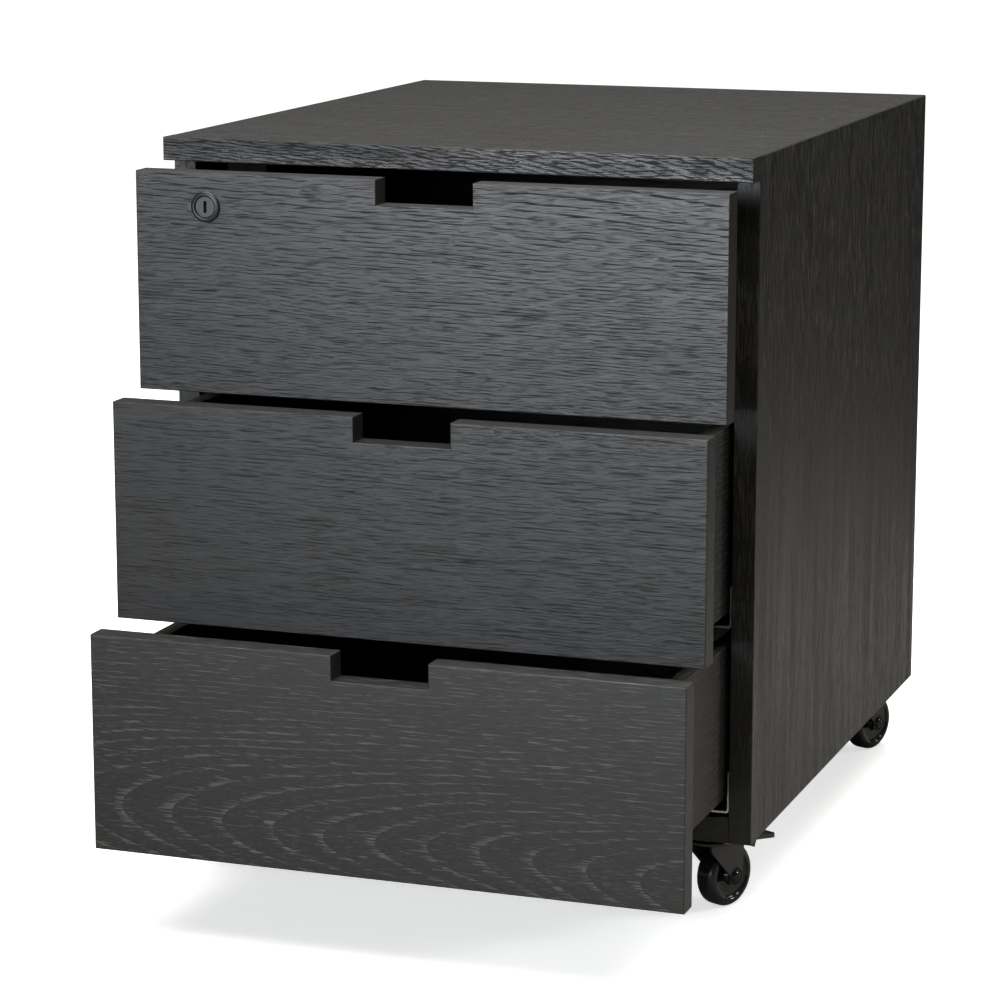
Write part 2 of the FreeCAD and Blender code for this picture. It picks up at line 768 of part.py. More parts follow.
def make_caster_fork(name, x, y, heading):
    """A pressed fork: two legs down to the axle under a round crown. The wheel trails on local +X."""
    body = new_body(f"caster_fork_{name}")
    outside = "(fork_inside + 2 * fork_steel)"
    crown_low = "(crown_top - fork_steel)"
    axle_height = "(wheel_diameter / 2)"
    leg = [
        ("-13", "crown_top"),
        ("-13", "crown_top - 8"),
        ("trail - 7", f"{axle_height} + 2"),
        ("trail - 5.6", f"{axle_height} - 5"),
        ("trail", f"{axle_height} - 7.6"),
        ("trail + 5.6", f"{axle_height} - 5"),
        ("trail + 8", f"{axle_height} + 2"),
        ("pedal_pivot_out + 5.5", "pedal_pivot_height - 4"),
        ("pedal_pivot_out + 5.5", "pedal_pivot_height + 1"),
        ("17", "crown_top"),
    ]
    extrude(body, "Pad", outline(body, "XZ", leg), outside, both=True)
    throat = rectangle("-40", "0", "60", crown_low)
    extrude(body, "Pocket", outline(body, "XZ", throat), "fork_inside", both=True)
    extrude(body, "Pad", circles(body, "XY", [("0", "0")], "crown_radius", crown_low), "fork_steel")
    pin_bore = circles(body, "XY", [("0", "0")], "kingpin_radius + running_clearance", crown_low)
    extrude(body, "Pocket", pin_bore, "fork_steel", backward=True)
    axle_bore = circles(body, "XZ", [("trail", axle_height)], "axle_diameter / 2 + 0.02")
    extrude(body, "Pocket", axle_bore, outside, both=True)
    if name.startswith("front"):
        pivot = [("pedal_pivot_out", "pedal_pivot_height")]
        pivot_bore = circles(body, "XZ", pivot, "2 + running_clearance")
        extrude(body, "Pocket", pivot_bore, outside, both=True)
    place(body, x, y, turn=90 - heading)


def place_on_axle(piece, x, y, heading):
    """Put a piece made about its own Y axis on a caster's axle."""
    angle = 90 - heading
    place(piece, f"{x} + trail * cos({angle})", f"{y} + trail * sin({angle})", "wheel_diameter / 2", angle)


def make_caster_wheel(name, x, y, heading):
    half = "(wheel_width / 2)"
    rim = "(wheel_diameter / 2)"
    bore = "(axle_diameter / 2 + running_clearance)"
    side = [
        (f"{half} + 0.6", bore),
        (f"{half} + 0.6", "6.2"),
        (f"{half} - 1", "7.4"),
        (f"{half} - 2", f"{rim} - 8.5"),
        (half, f"{rim} - 6.5"),
        (half, f"{rim} - 2.6"),
        (f"{half} - 1.1", f"{rim} - 0.8"),
        (f"{half} - 3.4", rim),
    ]
    mirrored = [(f"-({along})", radius) for along, radius in reversed(side)]
    wheel = turned(f"caster_wheel_{name}", side + mirrored)
    place_on_axle(wheel, x, y, heading)


def make_caster_axle(name, x, y, heading):
    """A riveted axle with a domed head on each side of the fork."""
    shaft = "(axle_diameter / 2)"
    leg = "(fork_inside / 2 + fork_steel)"
    half = [
        (leg, shaft),
        (leg, "4.6"),
        (f"{leg} + 0.8", "4.5"),
        (f"{leg} + 1.7", "3.2"),
        (f"{leg} + 2.1", "0"),
    ]
    mirrored = [(f"-({along})", radius) for along, radius in reversed(half)]
    axle = turned(f"caster_axle_{name}", half + mirrored)
    place_on_axle(axle, x, y, heading)


def make_brake_pedal(name, x, y, heading):
    """A pressed pedal that hinges in the fork: pressing its end down jams its shoe on the tread."""
    body = new_body(f"caster_brake_pedal_{name}")
    outside = "(fork_inside + 2 * fork_steel + 3.8)"
    inside = "(fork_inside + 2 * fork_steel + 0.8)"
    pivot_x = "pedal_pivot_out"
    pivot_z = "pedal_pivot_height"
    cheek = [
        (f"{pivot_x} - 3.2", f"{pivot_z} - 1.5"),
        (f"{pivot_x} - 1.5", f"{pivot_z} - 3.2"),
        (f"{pivot_x} + 3", f"{pivot_z} - 3.2"),
        (f"{pivot_x} + 14", f"{pivot_z} - 3"),
        (f"{pivot_x} + 16", f"{pivot_z} + 0.6"),
        (f"{pivot_x} + 5", f"{pivot_z} + 2.8"),
        (f"{pivot_x} - 1.5", f"{pivot_z} + 2.8"),
        (f"{pivot_x} - 3.2", f"{pivot_z} + 1.5"),
    ]
    extrude(body, "Pad", outline(body, "XZ", cheek), outside, both=True)
    extrude(body, "Pocket", outline(body, "XZ", rectangle("0", "30", "50", "60")), inside, both=True)
    tread = [
        (f"{pivot_x} + 7", f"{pivot_z} + 2.4"),
        (f"{pivot_x} + 7", f"{pivot_z} - 1"),
        (f"{pivot_x} + 8", f"{pivot_z} - 3"),
        (f"{pivot_x} + 16", f"{pivot_z} - 8.8"),
        (f"{pivot_x} + 18", f"{pivot_z} - 3.4"),
        (f"{pivot_x} + 44", f"{pivot_z} - 7"),
        (f"{pivot_x} + 46", f"{pivot_z} - 5.6"),
        (f"{pivot_x} + 45.5", f"{pivot_z} - 4.4"),
        (f"{pivot_x} + 18", f"{pivot_z} + 0.2"),
    ]
    extrude(body, "Pad", outline(body, "XZ", tread), outside, both=True)
    for side in (-1, 1):
        corner = [
            (f"{pivot_x} + 38", f"{side} * ({outside} / 2 + 1)"),
            (f"{pivot_x} + 41", f"{side} * ({outside} / 2 - 0.5)"),
            (f"{pivot_x} + 45", f"{side} * ({outside} / 2 - 4)"),
            (f"{pivot_x} + 47", f"{side} * ({outside} / 2 - 8)"),
            (f"{pivot_x} + 47", f"{side} * ({outside} / 2 + 1)"),
        ]
        extrude(body, "Pocket", outline(body, "XY", corner), "crown_top", backward=True)
    pin = circles(body, "XZ", [(pivot_x, pivot_z)], "2")
    extrude(body, "Pad", pin, outside, both=True)
    place(body, x, y, turn=90 - heading)


def make_caster_balls():
    """The ball rings that the forks turn on, between each plate's race and its fork's crown."""
    radius, ring = 1.25, 10
    height = number("crown_top") + 0.3 + radius
    balls = []
    for _, x, y, _ in caster_places():
        for n in range(12):
            turn = math.radians(30 * n + 15)
            across = ring * math.cos(turn)
            along = ring * math.sin(turn)
            centre = FreeCAD.Vector(number(x) + across, number(y) + along, height)
            balls.append(Part.makeSphere(radius, centre))
    group("caster_balls", balls)


def make_caster(name, x, y, heading):
    make_caster_plate(name, x, y)
    make_caster_fork(name, x, y, heading)
    make_caster_wheel(name, x, y, heading)
    make_caster_axle(name, x, y, heading)
    if name.startswith("front"):
        make_brake_pedal(name, x, y, heading)


# Build --------------------------------------------------------------------------------------------

make_top_panel()
make_side_panel("left_side_panel", -1)
make_side_panel("right_side_panel", 1)
make_bottom_panel()
make_back_panel()
make_carcass_dowels()
make_case_screws()
make_cabinet_members()
make_lock_keeper()
for level in levels:
    make_drawer_front(level)
    make_drawer_side(level, "left_side", -1)
    make_drawer_side(level, "right_side", 1)
    make_drawer_back(level)
    make_drawer_bottom(level)
    make_drawer_clips(level)
    make_runners(level)
make_lock()
for caster in caster_places():
    make_caster(*caster)
make_caster_balls()

doc.recompute()
for item in doc.Objects:
    if "Invalid" in item.State or "Error" in item.State:
        raise RuntimeError(f"{item.Label} did not compute: {item.State}")

inside_others = {link for item in doc.Objects if item.TypeId == "Part::Compound" for link in item.Links}
nodes = [
    item
    for item in doc.Objects
    if item.TypeId in ("PartDesign::Body", "Part::Compound", "Part::Feature") and item not in inside_others
]
os.makedirs("parts", exist_ok=True)
for node in nodes:
    if node.Shape.isNull() or not node.Shape.isValid():
        raise RuntimeError(f"{node.Label} has a bad shape")
    node.Shape.exportStep(f"parts/{node.Label}.step")
    print(f"{node.Label}: {len(node.Shape.Solids)} solids, {node.Shape.Volume:.0f} mm3")
print(len(nodes), "nodes")
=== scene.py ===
import math

import bmesh
import bpy
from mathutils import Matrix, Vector


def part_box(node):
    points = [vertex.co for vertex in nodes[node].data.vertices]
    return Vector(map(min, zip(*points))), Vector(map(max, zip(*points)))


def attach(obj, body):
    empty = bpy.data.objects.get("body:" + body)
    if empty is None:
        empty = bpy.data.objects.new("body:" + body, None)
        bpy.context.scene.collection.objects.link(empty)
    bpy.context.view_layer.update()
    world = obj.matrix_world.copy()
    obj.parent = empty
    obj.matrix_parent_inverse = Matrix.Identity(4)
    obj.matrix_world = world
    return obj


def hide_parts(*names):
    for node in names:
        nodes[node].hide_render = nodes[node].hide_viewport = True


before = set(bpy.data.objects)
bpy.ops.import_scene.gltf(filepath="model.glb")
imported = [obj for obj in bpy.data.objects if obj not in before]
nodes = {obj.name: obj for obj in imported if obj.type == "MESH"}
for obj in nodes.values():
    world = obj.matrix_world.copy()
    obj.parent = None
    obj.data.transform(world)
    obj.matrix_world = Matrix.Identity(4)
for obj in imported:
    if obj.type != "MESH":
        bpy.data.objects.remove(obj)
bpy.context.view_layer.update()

scene = bpy.context.scene
millimetre = 0.001
print("frame loaded:", len(nodes), "nodes")


def addNode(tree, kind, **settings):
    node = tree.nodes.new(kind)
    for key, value in settings.items():
        setattr(node, key, value)
    return node


def plug(tree, socket, value):
    if isinstance(value, bpy.types.NodeSocket):
        tree.links.new(value, socket)
    else:
        socket.default_value = value


def maths(tree, operation, *values):
    node = addNode(tree, "ShaderNodeMath", operation=operation)
    for socket, value in zip(node.inputs, values):
        plug(tree, socket, value)
    return node.outputs[0]


def ramp(tree, value, start, end, low=0.0, high=1.0):
    node = addNode(tree, "ShaderNodeMapRange", interpolation_type="SMOOTHSTEP")
    for socket, given in zip(node.inputs, (value, start, end, low, high)):
        plug(tree, socket, given)
    return node.outputs[0]


def blendColours(tree, share, first, second):
    node = addNode(tree, "ShaderNodeMix", data_type="RGBA")
    plug(tree, node.inputs[0], share)
    plug(tree, node.inputs[6], first)
    plug(tree, node.inputs[7], second)
    return node.outputs[2]


def mixValues(tree, share, first, second):
    node = addNode(tree, "ShaderNodeMix", data_type="FLOAT")
    plug(tree, node.inputs[0], share)
    plug(tree, node.inputs[2], first)
    plug(tree, node.inputs[3], second)
    return node.outputs[0]


def grainNoise(tree, vector, stretch, seed, detail=2.0, rough=0.5):
    place = addNode(tree, "ShaderNodeMapping")
    tree.links.new(vector, place.inputs["Vector"])
    place.inputs["Location"].default_value = seed
    place.inputs["Scale"].default_value = stretch
    noise = addNode(tree, "ShaderNodeTexNoise")
    tree.links.new(place.outputs[0], noise.inputs["Vector"])
    noise.inputs["Scale"].default_value = 1.0
    noise.inputs["Detail"].default_value = detail
    noise.inputs["Roughness"].default_value = rough
    return noise.outputs["Fac"]


def newMaterial(name):
    material = bpy.data.materials.new(name)
    material.use_nodes = True
    return material, material.node_tree, material.node_tree.nodes["Principled BSDF"]


# metres and radians, with the lens and sensor in millimetres
cameraView = {
    "lens": 122.87,
    "sensor": 36,
    "nearest": 0.05,
    "furthest": 60,
    "place": (0.89166, -2.66236, 0.84915),
    "pitch": math.pi / 2 - 0.2049,
    "yaw": 0.3433,
}

# a reach is from where to where in metres a value goes from near to far
studio = {
    "floorSide": 60.0,
    "floorColour": (0.8, 0.8, 0.8, 1),
    "floorRough": 0.9,
    "floorShine": 0.1,
    "bounceNear": (0.26, 0.25, 0.226, 1),
    "bounceFar": (0.06, 0.058, 0.052, 1),
    "bounceReach": (0.9, 2.4),
    "glowNear": 0.8,
    "glowFar": 1.3,
    "glowReach": (0.5, 2.0),
    "wallColour": (0.098, 0.094, 0.084, 1),
    "lowColour": (0.024, 0.023, 0.021, 1),
    "wallStart": (-0.06, 0.05),
    "backdrop": (1.0, 1.0, 1.0, 1),
}

# spread is how wide each box throws its light, in degrees
softboxes = {
    "overhead": {
        "place": (0.1, -0.1, 2.7),
        "aim": (0.0, 0.0, 0.0),
        "size": (2.6, 2.6),
        "watts": 150,
        "colour": (1.0, 0.99, 0.96),
    },
    "frontSheen": {
        "place": (-0.42, -3.0, 0.95),
        "aim": (0.14, -0.3, 0.84),
        "size": (1.3, 1.1),
        "spread": 48,
        "watts": 9.9,
        "colour": (0.88, 0.93, 1.0),
    },
    "rightSpark": {
        "place": (2.2, 0.95, 1.15),
        "aim": (0.2, -0.2, 0.05),
        "size": (0.7, 0.7),
        "spread": 22,
        "watts": 0.75,
        "colour": (1.0, 1.0, 1.0),
    },
}


def lookTowards(thing, aim):
    thing.rotation_euler = (Vector(aim) - thing.location).to_track_quat("-Z", "Y").to_euler()


def makeCamera():
    bpy.ops.object.camera_add(location=cameraView["place"])
    camera = bpy.context.object
    camera.name = "viewCamera"
    camera.rotation_euler = (cameraView["pitch"], 0, cameraView["yaw"])
    camera.data.lens = cameraView["lens"]
    camera.data.sensor_width = cameraView["sensor"]
    camera.data.clip_start = cameraView["nearest"]
    camera.data.clip_end = cameraView["furthest"]
    scene.camera = camera


def makeLights():
    for name, box in softboxes.items():
        bpy.ops.object.light_add(type="AREA", location=box["place"])
        lamp = bpy.context.object
        lamp.name = name
        lamp.data.shape = "RECTANGLE"
        lamp.data.size, lamp.data.size_y = box["size"]
        lamp.data.spread = math.radians(box.get("spread", 180))
        lamp.data.energy = box["watts"]
        lamp.data.color = box["colour"]
        lookTowards(lamp, box["aim"])


# a dim room round the cabinet, white only where the camera looks straight at it
def makeWorld():
    world = bpy.data.worlds.new("studioWorld")
    scene.world = world
    world.use_nodes = True
    tree = world.node_tree
    background = tree.nodes["Background"]
    coordinates = addNode(tree, "ShaderNodeTexCoord")
    split = addNode(tree, "ShaderNodeSeparateXYZ")
    tree.links.new(coordinates.outputs["Generated"], split.inputs[0])
    climb = addNode(tree, "ShaderNodeMapRange")
    climb.inputs["From Min"].default_value, climb.inputs["From Max"].default_value = studio["wallStart"]
    tree.links.new(split.outputs[2], climb.inputs["Value"])
    walls = blendColours(tree, climb.outputs[0], studio["lowColour"], studio["wallColour"])
    seen = addNode(tree, "ShaderNodeLightPath").outputs["Is Camera Ray"]
    plug(tree, background.inputs["Color"], blendColours(tree, seen, walls, studio["backdrop"]))


# the floor is near white to the eye but throws back only part of the light, least far away
def floorPaint():
    material, tree, shader = newMaterial("paleFloor")
    coordinates = addNode(tree, "ShaderNodeTexCoord")
    away = addNode(tree, "ShaderNodeVectorMath", operation="LENGTH")
    tree.links.new(coordinates.outputs["Object"], away.inputs[0])
    distance = away.outputs["Value"]
    seen = addNode(tree, "ShaderNodeLightPath").outputs["Is Camera Ray"]
    bounce = ramp(tree, distance, *studio["bounceReach"])
    bounced = blendColours(tree, bounce, studio["bounceNear"], studio["bounceFar"])
    plug(tree, shader.inputs["Base Color"], blendColours(tree, seen, bounced, studio["floorColour"]))
    glow = ramp(tree, distance, *studio["glowReach"], studio["glowNear"], studio["glowFar"])
    shader.inputs["Emission Color"].default_value = studio["floorColour"]
    plug(tree, shader.inputs["Emission Strength"], maths(tree, "MULTIPLY", glow, seen))
    shader.inputs["Roughness"].default_value = studio["floorRough"]
    shader.inputs["Specular IOR Level"].default_value = studio["floorShine"]
    return material


def makeFloor():
    side = studio["floorSide"]
    bpy.ops.mesh.primitive_plane_add(size=side, location=(0, 0, 0))
    floor = bpy.context.object
    floor.name = "studioFloor"
    floor.data.materials.append(floorPaint())


scene.view_settings.view_transform = "Standard"
scene.view_settings.look = "None"
makeCamera()
makeLights()
makeWorld()
makeFloor()
print("camera, softboxes and floor made")


def finishSurface(tree, shader, colour, roughness, height, strength, distance):
    plug(tree, shader.inputs["Base Color"], colour)
    plug(tree, shader.inputs["Roughness"], roughness)
    bump = addNode(tree, "ShaderNodeBump")
    bump.inputs["Strength"].default_value = strength
    bump.inputs["Distance"].default_value = distance
    tree.links.new(height, bump.inputs["Height"])
    tree.links.new(bump.outputs[0], shader.inputs["Normal"])


def objectMillimetres(tree):
    coordinates = addNode(tree, "ShaderNodeTexCoord")
    scaled = addNode(tree, "ShaderNodeVectorMath", operation="SCALE")
    tree.links.new(coordinates.outputs["Object"], scaled.inputs[0])
    scaled.inputs["Scale"].default_value = 1 / millimetre
    return scaled.outputs[0]


# black-stained, open-pored oak: rings round a slanting heart, with pores along the grain
# lengths are in millimetres, and along, across and through name the axes of the board
xGrainFront = {"along": 0, "across": 2, "through": 1}
xGrainFlat = {"along": 0, "across": 1, "through": 2}
yGrainSide = {"along": 1, "across": 2, "through": 0}
zGrainSide = {"along": 2, "across": 1, "through": 0}

oakDefaults = {
    "along": 0,
    "across": 2,
    "through": 1,
    "heart": 300,  # where the middle of the log lies across the board
    "face": 0,  # where the board's face is
    "depth": 60,  # from the middle of the log to that face
    "slant": 0.02,  # how fast the face nears the middle along the board
    "lean": 0.0,  # how fast the middle moves across it
    "ring": 5.0,  # one year's growth
    "wander": 7.0,  # slow waves in the rings
    "ripple": 0.6,  # short waves in the rings
    "band": 0.34,  # share of a ring that is early wood
    "poreLong": 19.0,
    "poreWide": 1.25,
    "gather": 0.13,  # how far the pores keep to the early wood
    "sparse": 0.60,  # higher leaves fewer pores
    "tick": 0.5,  # strength of the short pores between them
    "streak": 0.10,  # light and dark patches
    "fibre": 0.7,  # contrast of the fine fibre
    "late": (0.0135, 0.0132, 0.0125, 1),
    "early": (0.017, 0.0166, 0.0157, 1),
    "pore": (0.045, 0.044, 0.041, 1),
    "gloss": 0.37,  # roughness between the pores
    "relief": 0.55,
    "seed": (0.0, 0.0, 0.0),
}

# shared by all the boards; a stretch is how often a pattern repeats per millimetre
oakPattern = {
    "driftStretch": (0.0035, 0.013, 0.013),
    "shiverStretch": (0.012, 0.07, 0.07),
    "fibreStretch": (0.12, 3.2, 3.2),
    "cloudStretch": (0.006, 0.07, 0.07),
    "ringStart": 0.02,
    "poreBlur": 0.05,
    "tickFiner": (2.2, 1.7),
    "tickRange": (0.58, 0.68),
    "poreCover": 0.9,
    "shadeMiddle": 0.75,
    "shadeRange": 0.5,
    "fibreOffset": 0.06,
    "poreRoughness": 0.48,
    "fibreRoughness": 0.16,
    "fibreHeight": 0.35,
    "earlyHeight": -0.08,
    "bumpDepth": 0.0004,
    "shine": 0.5,
}


# four fields from 0 to 1: the open early wood of each ring, the pores, the fine fibre and slow patches
def oakFields(tree, millimetres, look):
    axes = addNode(tree, "ShaderNodeSeparateXYZ")
    tree.links.new(millimetres, axes.inputs[0])
    along, across, through = (axes.outputs[look[key]] for key in ("along", "across", "through"))
    board = addNode(tree, "ShaderNodeCombineXYZ")
    for socket, value in zip(board.inputs, (along, across, through)):
        tree.links.new(value, socket)
    vector = board.outputs[0]
    seed = look["seed"]
    slow = grainNoise(tree, vector, oakPattern["driftStretch"], seed, 2.0)
    quick = grainNoise(tree, vector, oakPattern["shiverStretch"], seed, 2.0)
    drift = maths(tree, "MULTIPLY_ADD", slow, 2 * look["wander"], -look["wander"] - look["heart"])
    shiver = maths(tree, "MULTIPLY_ADD", quick, 2 * look["ripple"], -look["ripple"])
    side = maths(tree, "ADD", maths(tree, "ADD", across, drift), shiver)
    side = maths(tree, "MULTIPLY_ADD", along, -look["lean"], side)
    depth = maths(tree, "MULTIPLY_ADD", along, -look["slant"], look["depth"] - look["face"])
    depth = maths(tree, "ADD", depth, through)
    square = maths(tree, "MULTIPLY", depth, depth)
    radius = maths(tree, "SQRT", maths(tree, "MULTIPLY_ADD", side, side, square))
    phase = maths(tree, "FRACT", maths(tree, "DIVIDE", radius, look["ring"]))
    early = ramp(tree, phase, oakPattern["ringStart"], look["band"], 1.0, 0.0)
    poreLong, poreWide = look["poreLong"], look["poreWide"]
    poreStretch = (1 / poreLong, 1 / poreWide, 1 / poreWide)
    grains = grainNoise(tree, vector, poreStretch, seed, 1.5, 0.45)
    dense = maths(tree, "MULTIPLY_ADD", early, look["gather"], grains)
    pores = ramp(tree, dense, look["sparse"], look["sparse"] + oakPattern["poreBlur"])
    tickLong, tickWide = oakPattern["tickFiner"]
    tickStretch = (tickLong / poreLong, tickWide / poreWide, tickWide / poreWide)
    ticks = grainNoise(tree, vector, tickStretch, seed, 1.0, 0.4)
    ticks = maths(tree, "MULTIPLY", ramp(tree, ticks, *oakPattern["tickRange"]), look["tick"])
    pores = maths(tree, "MAXIMUM", pores, ticks)
    fibre = grainNoise(tree, vector, oakPattern["fibreStretch"], seed, 3.0, 0.6)
    cloud = grainNoise(tree, vector, oakPattern["cloudStretch"], seed, 3.0)
    return early, pores, fibre, cloud


# the top's front edge has its own veneer strip, with the figure running steeply across it
edgeStrip = {
    "heart": 548,
    "face": -280,
    "depth": 42,
    "slant": -0.13,
    "ring": 1.9,
    "wander": 9.0,
    "ripple": 1.4,
    "band": 0.45,
    "gather": 0.2,
    "thickness": 0.7,
    "seed": (2.2, 6.4, 9.9),
}


def blackOak(name, **changes):
    look = dict(oakDefaults, **changes)
    material, tree, shader = newMaterial(name)
    millimetres = objectMillimetres(tree)
    early, pores, fibre, cloud = oakFields(tree, millimetres, look)
    if name.startswith("top_panel"):
        strip = dict(look, **xGrainFront, **edgeStrip)
        stripEarly, stripPores = oakFields(tree, millimetres, strip)[:2]
        axes = addNode(tree, "ShaderNodeSeparateXYZ")
        tree.links.new(millimetres, axes.inputs[0])
        inside = maths(tree, "GREATER_THAN", axes.outputs[1], strip["face"] + strip["thickness"])
        early = mixValues(tree, inside, stripEarly, early)
        pores = mixValues(tree, inside, stripPores, pores)
    streak = look["streak"]
    shadeRange, shadeMiddle = oakPattern["shadeRange"], oakPattern["shadeMiddle"]
    wood = blendColours(tree, early, look["late"], look["early"])
    covered = maths(tree, "MULTIPLY", pores, oakPattern["poreCover"])
    wood = blendColours(tree, covered, wood, look["pore"])
    shade = maths(tree, "MULTIPLY_ADD", cloud, shadeRange + streak, shadeMiddle - streak / 2)
    shade = maths(tree, "MULTIPLY_ADD", maths(tree, "SUBTRACT", fibre, 0.5), look["fibre"], shade)
    tint = addNode(tree, "ShaderNodeVectorMath", operation="SCALE")
    tree.links.new(wood, tint.inputs[0])
    tree.links.new(shade, tint.inputs["Scale"])
    roughness = maths(tree, "MULTIPLY_ADD", pores, oakPattern["poreRoughness"], look["gloss"])
    roughness = maths(tree, "SUBTRACT", roughness, oakPattern["fibreOffset"])
    roughness = maths(tree, "MULTIPLY_ADD", fibre, oakPattern["fibreRoughness"], roughness)
    uneven = maths(tree, "MULTIPLY_ADD", cloud, -streak, streak / 2)
    roughness = maths(tree, "ADD", roughness, uneven)
    height = maths(tree, "MULTIPLY", fibre, oakPattern["fibreHeight"])
    height = maths(tree, "MULTIPLY_ADD", pores, -1.0, height)
    height = maths(tree, "MULTIPLY_ADD", early, oakPattern["earlyHeight"], height)
    bumpDepth = oakPattern["bumpDepth"]
    finishSurface(tree, shader, tint.outputs[0], roughness, height, look["relief"], bumpDepth)
    shader.inputs["Specular IOR Level"].default_value = oakPattern["shine"]
    return material


oakBoards = {
    "drawer_front_top": dict(
        xGrainFront,
        heart=590,
        face=-334,
        depth=110,
        slant=0.012,
        lean=-0.022,
        ring=1.9,
        wander=10,
        ripple=0.9,
        poreLong=26,
        poreWide=0.85,
        gather=0.20,
        sparse=0.645,
        # painted shade: the pores here are near black, much darker than on the other boards, to stand
        # in for pores missing the softbox sheen on this front
        pore=(0.003, 0.003, 0.003, 1),
        relief=0.55,
        seed=(3.1, 7.7, 1.2),
    ),
    "drawer_front_middle": dict(
        xGrainFront,
        heart=470,
        face=-382,
        depth=130,
        slant=0.02,
        ring=2.1,
        wander=7,
        poreLong=22,
        poreWide=0.80,
        gather=0.17,
        sparse=0.645,
        pore=(0.006, 0.006, 0.006, 1),
        relief=0.55,
        seed=(13.4, 2.2, 5.1),
    ),
    "drawer_front_bottom": dict(
        xGrainFront,
        heart=93,
        face=-429,
        depth=105,
        slant=0.066,
        lean=-0.05,
        ring=2.7,
        band=0.36,
        gather=0.18,
        sparse=0.675,
        poreWide=1.05,
        tick=0.2,
        gloss=0.41,
        late=(0.0128, 0.0123, 0.0112, 1),
        wander=12,
        ripple=2.0,
        # painted highlight: light pores stand in for the pore edges catching the overhead light on the
        # lowest front, which gets no sheen
        pore=(0.115, 0.112, 0.105, 1),
        relief=0.6,
        seed=(5.3, 9.1, 4.4),
    ),
    "top_panel": dict(
        xGrainFlat,
        heart=900,
        face=589,
        depth=60,
        slant=0.03,
        ring=2.8,
        wander=3,
        streak=0.7,
        fibre=1.3,
        sparse=0.57,
        pore=(0.004, 0.004, 0.0037, 1),
        relief=0.9,
        seed=(1.5, 4.2, 8.8),
    ),
    "right_side_panel": dict(
        zGrainSide,
        heart=740,
        face=235,
        depth=-180,
        slant=0.02,
        ring=4.0,
        wander=12,
        streak=0.5,
        seed=(6.6, 1.9, 2.3),
    ),
    "left_side_panel": dict(
        zGrainSide,
        heart=-730,
        face=-235,
        depth=180,
        slant=0.02,
        ring=4.0,
        wander=12,
        streak=0.5,
        seed=(2.6, 5.9, 7.3),
    ),
    "bottom_panel": dict(
        xGrainFlat,
        heart=500,
        face=85,
        depth=120,
        slant=0.01,
        ring=3.2,
        seed=(9.6, 3.9, 0.3),
    ),
    "back_panel": dict(
        zGrainSide,
        across=0,
        through=1,
        heart=60,
        face=278,
        depth=95,
        slant=0.06,
        ring=3.4,
        seed=(4.6, 8.9, 6.3),
    ),
}

boxLook = {
    "late": (0.016, 0.0148, 0.0135, 1),
    "early": (0.021, 0.0195, 0.018, 1),
    "pore": (0.034, 0.032, 0.029, 1),
    "gloss": 0.5,
}

# each seed gets its first number from the drawer the board is in
boxBoards = {
    "drawer_left_side": dict(yGrainSide, heart=700, depth=230, seed=(1.1, 2.0)),
    "drawer_right_side": dict(yGrainSide, heart=760, depth=90, seed=(6.1, 3.0)),
    "drawer_back": dict(xGrainFront, heart=640, depth=90, seed=(3.3, 4.0)),
    "drawer_bottom": dict(xGrainFlat, heart=0, depth=-700, slant=0.06, seed=(8.2, 5.0)),
}
boardStep = 11.0  # millimetres along the log from one drawer's boards to the next one's

for count, level in enumerate(("top", "middle", "bottom")):
    shift = boardStep * count
    for kind, board in boxBoards.items():
        own = {"heart": board["heart"] + shift, "seed": (shift, *board["seed"])}
        oakBoards[f"{kind}_{level}"] = {**boxLook, **board, **own}


def coatNode(name, material):
    piece = nodes[name]
    for slot in piece.material_slots:
        slot.material = material


for boardName, boardLook in oakBoards.items():
    coatNode(boardName, blackOak(boardName + "_oak", **boardLook))
print("oak boards coated:", len(oakBoards))


# metals, plastics and dowels: patches change colour and gloss slowly, specks are the fine grain on top
finishPattern = {
    "patchSeed": (1.7, 3.1, 0.4),
    "speckSeed": (0.9, 5.3, 2.8),
    "wornRange": (0.35, 0.65),
    "patchHeight": 0.5,
    "shine": 0.5,
}

